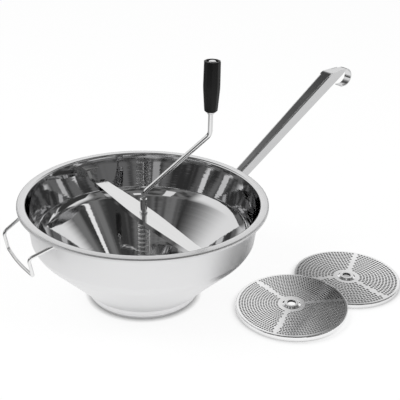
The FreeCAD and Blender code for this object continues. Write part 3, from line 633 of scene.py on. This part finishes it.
wire_steel = steel("bright_wire", BRIGHT, rough=0.07, lines=1200.0, grain_depth=1e-6,
                   wave_depth=1e-5)
bar_steel = steel("polished_bar", BRIGHT, rough=0.05, lines=3000.0, grain_depth=5e-7,
                  turn=BAR_TURN)
handle_steel = steel("polished_channel", SHEET, rough=0.11, grain_depth=1e-6, turn=HANDLE_TURN)
blade_steel = steel("pressed_blade", SHEET, rough=0.20)
lug_steel = steel("pressed_lug", SHADED, rough=0.25)
print("steels:", ", ".join(finish.name for finish in (wire_steel, bar_steel, handle_steel,
                                                      blade_steel, lug_steel)))

# %% [markdown]
# The bowl is mirror-polished on the food side and satin outside, with a finely turned brim.
# It is one material: the side is told by whether the surface faces the axis or away from it,
# and the brim by its distance from the axis.

# %% Bowl finish
BOWL_MIRROR = (0.74, 0.74, 0.745)
BOWL_SATIN = (0.78, 0.78, 0.785)
FACING_OUT = (0.02, 0.06)
BRIM_EDGE = 172 * MM
MIRROR_ROUGH = 0.03
SATIN_ROUGH = 0.15
OUTSIDE_ROUGH = 0.24
BOWL_SMUDGES = 0.03
BOWL_SCRATCHES = 0.08
BOWL_RINGED = 0.04
BOWL_RINGS = 1400.0
RING_DEPTH = 1e-6
MIRROR_RINGS = 0.15
SPIN_RINGS = 260.0
SPIN_DEPTH = 4e-5
BOWL_WAVES = 6e-5


def bowl_finish():
    material, tree, shader = start_material("polished_bowl")
    vector = centred_vector(tree)
    rings = place_group(tree, TURNED, vector, Rings_per_metre=BOWL_RINGS)
    marks = place_group(tree, HANDLING, vector)
    x, y, z = axes(tree, vector)
    outward = vector_math(tree, "NORMALIZE", combine(tree, x, y, 0.0))[0]
    normal = add_node(tree, "ShaderNodeNewGeometry").outputs["Normal"]
    outside = ramp(tree, vector_math(tree, "DOT_PRODUCT", outward, normal)["Value"], *FACING_OUT)
    radius = length_of(tree, x, y)
    satin = most(tree, outside, ramp(tree, radius, BRIM_EDGE, BRIM_EDGE + MM))
    tree.links.new(mix_colour(tree, satin, BOWL_MIRROR, BOWL_SATIN),
                   shader.inputs["Base Color"])
    rough = plus(tree, ramp(tree, satin, 0.0, 1.0, MIRROR_ROUGH, SATIN_ROUGH),
                 times(tree, outside, OUTSIDE_ROUGH),
                 times(tree, marks["Smudges"], BOWL_SMUDGES),
                 times(tree, marks["Scratches"], BOWL_SCRATCHES),
                 times(tree, rings["Height"], satin, BOWL_RINGED))
    tree.links.new(rough, shader.inputs["Roughness"])
    spun = noise(tree, combine(tree, times(tree, radius, SPIN_RINGS),
                               times(tree, z, SPIN_RINGS), 0.0), 1.0)
    waves = bump(tree, spun, SPIN_DEPTH, bump(tree, marks["Waves"], BOWL_WAVES))
    height = times(tree, rings["Height"], ramp(tree, satin, 0.0, 1.0, MIRROR_RINGS, 1.0))
    tree.links.new(bump(tree, height, RING_DEPTH, waves), shader.inputs["Normal"])
    return material


bowl_steel = bowl_finish()
print("bowl finish:", bowl_steel.name)

# %% [markdown]
# A spun bowl is a line turned about an axis. In Blender the line is drawn by extruding one
# point, its corners are rounded with a vertex bevel, and the spin tool turns it. The sheet's
# thickness comes last, from Solidify.

# %% Helpers for a drawn line
CORNER_REACH = 1e-5


def begin_point(name, place):
    """New mesh of one loose vertex, left in edit mode with the vertex selected."""
    bpy.ops.object.select_all(action="DESELECT")
    bpy.ops.mesh.primitive_plane_add(size=MM)
    item = bpy.context.object
    item.name = name
    bpy.ops.object.mode_set(mode="EDIT")
    bpy.ops.mesh.merge(type="CENTER")
    bpy.ops.transform.translate(value=place)
    return item


def select_where(item, test):
    """Select just the vertices whose place passes a test."""
    bpy.ops.object.mode_set(mode="OBJECT")
    for element in (*item.data.vertices, *item.data.edges, *item.data.polygons):
        element.select = False
    for vertex in item.data.vertices:
        vertex.select = test(vertex.co)
    bpy.ops.object.mode_set(mode="EDIT")
    bpy.ops.mesh.select_mode(type="VERT")


def corner_offset(before, corner, after, radius):
    """How far back along both runs a rounding of a radius starts."""
    first = (before - corner).normalized()
    second = (after - corner).normalized()
    return radius / math.tan(first.angle(second) / 2)


def drawn_line(name, points, rounds, segments):
    """Line through (radius, height) points in the XZ plane, with rounded corners, in mm."""
    places = [Vector((radius * MM, 0, height * MM)) for radius, height in points]
    item = begin_point(name, places[0])
    for here, there in zip(places, places[1:]):
        bpy.ops.mesh.extrude_region_move(TRANSFORM_OT_translate={"value": there - here})
    for index, radius in rounds.items():
        corner = places[index]
        select_where(item, lambda place: (place - corner).length < CORNER_REACH)
        offset = corner_offset(places[index - 1], corner, places[index + 1], radius * MM)
        bpy.ops.mesh.bevel(offset=offset, offset_type="OFFSET", segments=segments,
                           affect="VERTICES")
    return item


print("line helpers ready")

# %% [markdown]
# Three more steps are the same for each piece that is made anew: turning the line, applying a
# modifier, and the last one, which dresses the piece and says what it rides on and stands for.

# %% Helpers for finished pieces
SLACK = 1e-6


def turned(item, steps):
    """Spin the drawn line about Z, merge the seam and point the faces the same way."""
    bpy.ops.mesh.select_all(action="SELECT")
    bpy.ops.mesh.spin(steps=steps, angle=2 * math.pi, center=(0, 0, 0), axis=(0, 0, 1))
    bpy.ops.mesh.select_all(action="SELECT")
    bpy.ops.mesh.remove_doubles(threshold=SLACK)
    bpy.ops.mesh.normals_make_consistent(inside=False)
    bpy.ops.object.mode_set(mode="OBJECT")
    return item


def apply_modifier(item, kind, **settings):
    """Add one modifier, set it and apply it."""
    modifier = item.modifiers.new(kind.lower(), kind)
    for name, setting in settings.items():
        setattr(modifier, name, setting)
    bpy.context.view_layer.objects.active = item
    bpy.ops.object.modifier_apply(modifier=modifier.name)


def finish_piece(item, body, node, finish):
    """Dress and attach a finished piece that stands for a CAD node."""
    bpy.ops.object.select_all(action="DESELECT")
    item.select_set(True)
    bpy.context.view_layer.objects.active = item
    bpy.ops.object.transform_apply(location=True, rotation=True, scale=True)
    item.data.materials.clear()
    item.data.materials.append(finish)
    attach(item, body)
    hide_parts(node)
    low, high = ([round(value / MM, 1) for value in item.bound_box[corner]] for corner in (0, 6))
    print("%s: %d faces, %s to %s mm" % (item.name, len(item.data.polygons), low, high))


print("piece helpers ready")

# %% [markdown]
# The bowl's line runs on the food side: from the turned-down hem over the brim, down the
# straight band, round the shoulder, down the cone to the ledge for the disc, and down the
# stepped foot. The sheet grows outwards from it, so the faces of the turned shell must look
# at the axis. A face of the straight band tells whether they do.

# %% Bowl
BOWL_WALL = 1.2
BOWL_LINE = [(185, 154), (185, 158.6), (172, 159), (165.5, 103), (162, 93.7), (84.8, 16),
             (84.8, 10.6), (81.6, 10.6), (81.6, 5.4), (78.6, 5.4), (78.6, 0)]
BOWL_ROUNDS = {1: 2, 2: 3, 4: 38, 5: 3, 6: 0.5, 7: 1.7, 8: 0.5, 9: 1.7}
BOWL_STEPS = 224
BOWL_SMOOTH = math.radians(40)
BAND_LOW, BAND_HIGH, BAND_REACH = 120 * MM, 140 * MM, 175 * MM

bowl = turned(drawn_line("strainer_bowl", BOWL_LINE, BOWL_ROUNDS, segments=8), BOWL_STEPS)
band = next(face for face in bowl.data.polygons
            if BAND_LOW < face.center.z < BAND_HIGH and face.center.xy.length < BAND_REACH)
if band.normal.xy.dot(band.center.xy) >= 0:
    bpy.ops.object.mode_set(mode="EDIT")
    bpy.ops.mesh.select_all(action="SELECT")
    bpy.ops.mesh.flip_normals()
    bpy.ops.object.mode_set(mode="OBJECT")
apply_modifier(bowl, "SOLIDIFY", thickness=BOWL_WALL * MM, offset=-1, use_even_offset=True)
bpy.ops.object.shade_smooth_by_angle(angle=BOWL_SMOOTH)
apply_modifier(bowl, "WEIGHTED_NORMAL", keep_sharp=True)
finish_piece(bowl, "bowl", "bowl", bowl_steel)

# %% [markdown]
# The discs are turned on a lathe before their holes are punched, so their grain runs in rings
# round their own centres. Punching draws the sheet down round each hole. That dimple is
# worked out from the same rule that places the holes: circles one pitch apart, each with as
# many holes as fit, and three spokes left plain. Every second circle is shifted by half a
# hole.

# %% Where the holes are
HOLES_END = 79.2 * MM
SPOKES = 3
SPOKE_HALF = 3.5 * MM


def hole_distance(tree, vector, hole, pitch):
    """Distance from the middle of the nearest hole, and 1 where that hole is really there."""
    x, y = axes(tree, vector)[:2]
    radius = length_of(tree, x, y)
    outer = HOLES_END - hole / 2
    circle = math_node(tree, "ROUND",
                       math_node(tree, "DIVIDE", minus(tree, outer, radius), pitch))
    circle = most(tree, circle, 0.0)
    reach = minus(tree, outer, times(tree, circle, pitch))
    count = math_node(tree, "ROUND", times(tree, reach, 2 * math.pi / pitch))
    spacing = math_node(tree, "DIVIDE", 2 * math.pi, count)
    shift = times(tree, math_node(tree, "MODULO", circle, 2.0), 0.5)
    angle = math_node(tree, "ARCTAN2", y, x)
    number = minus(tree, math_node(tree, "DIVIDE", angle, spacing), shift)
    nearest = math_node(tree, "ROUND", number)
    across = times(tree, minus(tree, number, nearest), spacing, reach)
    distance = length_of(tree, across, minus(tree, radius, reach))
    middle = times(tree, plus(tree, nearest, shift), spacing)
    from_spoke = wrap(tree, middle, math.pi / SPOKES)
    aside = math_node(tree, "ABSOLUTE",
                      times(tree, math_node(tree, "SINE", from_spoke), reach))
    return distance, math_node(tree, "GREATER_THAN", aside, SPOKE_HALF)


print("holes up to", round(HOLES_END / MM, 1), "mm from a disc's centre,", SPOKES, "spokes")

# %% [markdown]
# Thin sheet never stays flat: each disc is a little twisted, so one side mirrors the bright
# wall and the other the dark ceiling. A bump whose slope grows from one side of the disc to
# the other gives that twist. The holes get painted shade: every face inside the lip that
# doesn't look up or down, mostly the walls of the holes, is painted near black, and so is a
# ring round each hole.

# %% Disc finish
DISC_DARK = (0.92, 0.92, 0.925)
DISC_LIGHT = (0.99, 0.99, 0.99)
DISC_RINGS = 1300.0
DISC_GRAIN = 4e-6
DISC_ROUGH = 0.10
DISC_SMUDGES = 0.08
LIP_INSIDE = 79.5 * MM
LIP_SOFT = 0.5 * MM
LEVEL_FACE = (0.5, 0.7)
# near-black colour of the painted shade in the holes and round them
HOLE_SHADE = 0.01
# width of the painted shade ring round each hole
HOLE_SHADE_RING = 0.8 * MM
DIMPLE = 0.6 * MM
DIMPLE_DEPTH = 0.12 * MM


def disc_finish(name, centre, rotation, hole, pitch, inner, lean, twist):
    """Steel of one disc, with the diameter and pitch of its holes and where they start."""
    material, tree, shader = start_material(name)
    vector = centred_vector(tree, centre)
    rings = place_group(tree, TURNED, vector, Rings_per_metre=DISC_RINGS)
    marks = place_group(tree, HANDLING, vector)
    tree.links.new(plus(tree, times(tree, marks["Smudges"], DISC_SMUDGES), DISC_ROUGH),
                   shader.inputs["Roughness"])
    x, y = axes(tree, vector)[:2]
    radius = length_of(tree, x, y)
    within = ramp(tree, radius, LIP_INSIDE, LIP_INSIDE + LIP_SOFT, 1, 0)
    normal = add_node(tree, "ShaderNodeNewGeometry").outputs["Normal"]
    level = math_node(tree, "ABSOLUTE", axes(tree, normal)["Z"])
    # painted shade: every face inside the lip that doesn't look up or down, mostly the hole
    # walls
    wall = times(tree, ramp(tree, level, *LEVEL_FACE, 1, 0), within)
    distance, present = hole_distance(tree, centred_vector(tree, centre, rotation), hole, pitch)
    present = times(tree, present, ramp(tree, radius, inner, inner + MM), within)
    # painted shade in a ring round each hole, so that the holes look larger and darker
    ring_shade = ramp(tree, distance, hole / 2 + HOLE_SHADE_RING / 2, hole / 2 + HOLE_SHADE_RING, 1, 0)
    # painted shade wherever the hole walls or the rings round the holes are
    dark = most(tree, wall, times(tree, ring_shade, present))
    ringed = mix_colour(tree, rings["Tone"], DISC_DARK, DISC_LIGHT)
    # the painted shade takes the place of the ringed steel colour
    tree.links.new(mix_colour(tree, dark, ringed, grey(HOLE_SHADE)), shader.inputs["Base Color"])
    height = times(tree, plus(tree, times(tree, x, twist), lean), y)
    sunk = times(tree, ramp(tree, distance, hole / 2, hole / 2 + DIMPLE, DIMPLE_DEPTH, 0),
                 present)
    # the height is already in metres, so this bump's depth is 1
    twisted = bump(tree, minus(tree, height, sunk), 1.0)
    tree.links.new(bump(tree, rings["Height"], DISC_GRAIN, twisted), shader.inputs["Normal"])
    return material


print("disc finish ready")

# %% [markdown]
# The coarse disc is fitted in the bowl. The other two lie on the table, and the fine one
# leans on the rim of the medium one, so its holes are found on tilted axes.

# %% The three discs
MEDIUM_CENTRE = (0.32371, 0.02781, 0)
FINE_CENTRE = (0.22217, -0.05912, 0.0041)
MEDIUM_SPOKES = math.radians(67)
FINE_SPOKES = math.radians(4)
COARSE_SPOKES = math.radians(30)
LEAN_AXIS = (0.6504, -0.7596, 0)
LEAN_ANGLE = math.radians(2.789)
FINE_TURN = (Quaternion(LEAN_AXIS, LEAN_ANGLE)
             @ Quaternion((0, 0, 1), FINE_SPOKES)).to_euler()
DISCS = {
    # finish, centre, rotation, hole, pitch and inner end of the holes in mm, lean, twist
    "coarse_disc": ("turned_disc_fitted", (0, 0, 0), (0, 0, COARSE_SPOKES),
                    (4, 6.4, 22), 0.0, 0.3),
    "medium_disc": ("turned_disc_back", MEDIUM_CENTRE, (0, 0, MEDIUM_SPOKES),
                    (2.7, 5, 20), 0.045, -0.6),
    "fine_disc": ("turned_disc_front", FINE_CENTRE, FINE_TURN, (1.9, 4, 20), 0.0, 1.3),
}
DISC_FINISHES = {
    node: disc_finish(name, centre, rotation, *(size * MM for size in sizes), lean, twist)
    for node, (name, centre, rotation, sizes, lean, twist) in DISCS.items()
}
print("disc finishes:", sorted(DISC_FINISHES))

# %% [markdown]
# The grip is moulded in black plastic. It reflects little, its surface has the fine grain of
# the mould, and greasy hands leave places that are less glossy.

# %% Grip finish
GRIP_DARK = (0.004, 0.004, 0.004)
GRIP_LIGHT = (0.010, 0.010, 0.010)
GRIP_ROUGH = 0.30
GRIP_SMUDGES = 0.12
GRIP_SHINE = 0.25
GRIP_GRAIN = 2200.0
GRIP_GRAIN_DEPTH = 8e-6


def grip_finish():
    material, tree, shader = start_material("moulded_black", metallic=0.0)
    vector = centred_vector(tree)
    smudges = place_group(tree, HANDLING, vector)["Smudges"]
    tree.links.new(mix_colour(tree, smudges, GRIP_DARK, GRIP_LIGHT), shader.inputs["Base Color"])
    tree.links.new(plus(tree, times(tree, smudges, GRIP_SMUDGES), GRIP_ROUGH),
                   shader.inputs["Roughness"])
    shader.inputs["Specular IOR Level"].default_value = GRIP_SHINE
    tree.links.new(bump(tree, noise(tree, vector, GRIP_GRAIN), GRIP_GRAIN_DEPTH),
                   shader.inputs["Normal"])
    return material


black_plastic = grip_finish()
print("grip finish:", black_plastic.name)

# %% [markdown]
# The grip has ten shallow flats that meet in soft ribs, so that greasy fingers don't slip.
# The outline is turned first. Then the columns of vertices between two ribs are scaled
# towards the axis, the middle one most, which presses the flats in.

# %% Grip
GRIP_PLACE = (95 * MM, 0, 0)
GRIP_LINE = [(3.9, 295), (7.7, 295), (9.9, 297.2), (12.6, 331), (12.1, 369), (8.2, 369),
             (8.2, 366), (3.9, 366), (3.9, 295)]
GRIP_ROUNDS = {1: 0.8, 2: 2, 3: 100, 4: 1, 5: 0.5}
GRIP_FLATS = 10
COLUMNS_PER_FLAT = 12
FLAT_HALF = math.pi / GRIP_FLATS
FLAT_FROM_RADIUS = 8.6 * MM
FLAT_FROM_HEIGHT = 296 * MM
GRIP_MIDDLE = (0, 0, 330 * MM)
GRIP_SMOOTH = math.radians(50)


def column_of(place):
    """Number of columns between a vertex and the middle of its flat."""
    angle = math.degrees(math.atan2(place.y, place.x)) % (360 / GRIP_FLATS)
    step = 360 / GRIP_FLATS / COLUMNS_PER_FLAT
    column = round(angle / step)
    return min(column, COLUMNS_PER_FLAT - column)


grip = turned(drawn_line("grip_moulding", GRIP_LINE, GRIP_ROUNDS, segments=6),
              GRIP_FLATS * COLUMNS_PER_FLAT)
for column in range(COLUMNS_PER_FLAT // 2):
    pressed = math.cos(FLAT_HALF) / math.cos(2 * FLAT_HALF * column / COLUMNS_PER_FLAT)
    select_where(grip, lambda place: column_of(place) == column
                 and place.xy.length > FLAT_FROM_RADIUS and place.z > FLAT_FROM_HEIGHT)
    bpy.ops.transform.resize(value=(pressed, pressed, 1), center_override=GRIP_MIDDLE)
bpy.ops.object.mode_set(mode="OBJECT")
bpy.ops.object.shade_smooth_by_angle(angle=GRIP_SMOOTH)
bpy.ops.object.select_all(action="DESELECT")
grip.select_set(True)
bpy.ops.transform.translate(value=GRIP_PLACE)
finish_piece(grip, "grip", "grip", black_plastic)

# %% [markdown]
# The pressure spring is a ring of wire screwed upwards. The real spring shortens as the crank
# is lifted and squashes towards the crossbar; here it is attached to the crossbar and given a
# mesh of its own.

# %% Pressure spring
COIL_RADIUS = 9.1
COIL_WIRE = 1.35
COIL_START = 61.4
COIL_END = 130.85
COIL_PITCH = 7.4
WIRE_SIDES = 16
STEPS_PER_TURN = 28
COIL_SMOOTH = math.radians(50)

coil_turns = (COIL_END - COIL_START) / COIL_PITCH
bpy.ops.object.select_all(action="DESELECT")
bpy.ops.mesh.primitive_circle_add(vertices=WIRE_SIDES, radius=COIL_WIRE * MM,
                                  location=(COIL_RADIUS * MM, 0, COIL_START * MM),
                                  rotation=(math.pi / 2, 0, 0))
coil = bpy.context.object
coil.name = "spring_coil"
bpy.ops.object.transform_apply(location=True, rotation=True, scale=True)
apply_modifier(coil, "SCREW", axis="Z", angle=2 * math.pi * coil_turns,
               screw_offset=(COIL_END - COIL_START) * MM, iterations=1,
               steps=round(STEPS_PER_TURN * coil_turns))
bpy.ops.object.mode_set(mode="EDIT")
bpy.ops.mesh.select_all(action="SELECT")
bpy.ops.mesh.fill_holes(sides=0)
bpy.ops.mesh.select_all(action="SELECT")
bpy.ops.mesh.normals_make_consistent(inside=False)
bpy.ops.object.mode_set(mode="OBJECT")
bpy.ops.object.shade_smooth_by_angle(angle=COIL_SMOOTH)
finish_piece(coil, "crossbar", "pressure_spring", wire_steel)
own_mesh(coil)
tip = max(coil.data.vertices, key=lambda vertex: vertex.co.z).co
print("coil:", round(coil_turns, 2), "turns, top end at",
      round(math.degrees(math.atan2(tip.y, tip.x)), 1), "degrees")

# %% [markdown]
# The other pieces keep their CAD shape and get their own steel. Drawn rod and wire and the
# small turned parts are brightest. The crossbar is polished along its length and the handle
# along its own.

# %% Finishes of the carried-over CAD nodes
FINISHES = {
    **dict.fromkeys(("crossbar", "crossbar_bush"), bar_steel),
    **dict.fromkeys(("back_lug", "front_lug"), lug_steel),
    **dict.fromkeys(("handle", "handle_saddle"), handle_steel),
    **dict.fromkeys(("rotor_blade", "rotor_hub"), blade_steel),
    **dict.fromkeys(("crank_rod", "rest_loop", "upper_spring_washer", "lower_spring_washer",
                     "shaft_sleeve", "rotor_pin", "grip_collar", "grip_washer"), wire_steel),
    **DISC_FINISHES,
}
for name, finish in FINISHES.items():
    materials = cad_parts[name].data.materials
    materials.clear()
    materials.append(finish)
bare = set(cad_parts) - set(FINISHES) - {"bowl", "grip", "pressure_spring"}
print("nodes without a finish:", sorted(bare) or "none")
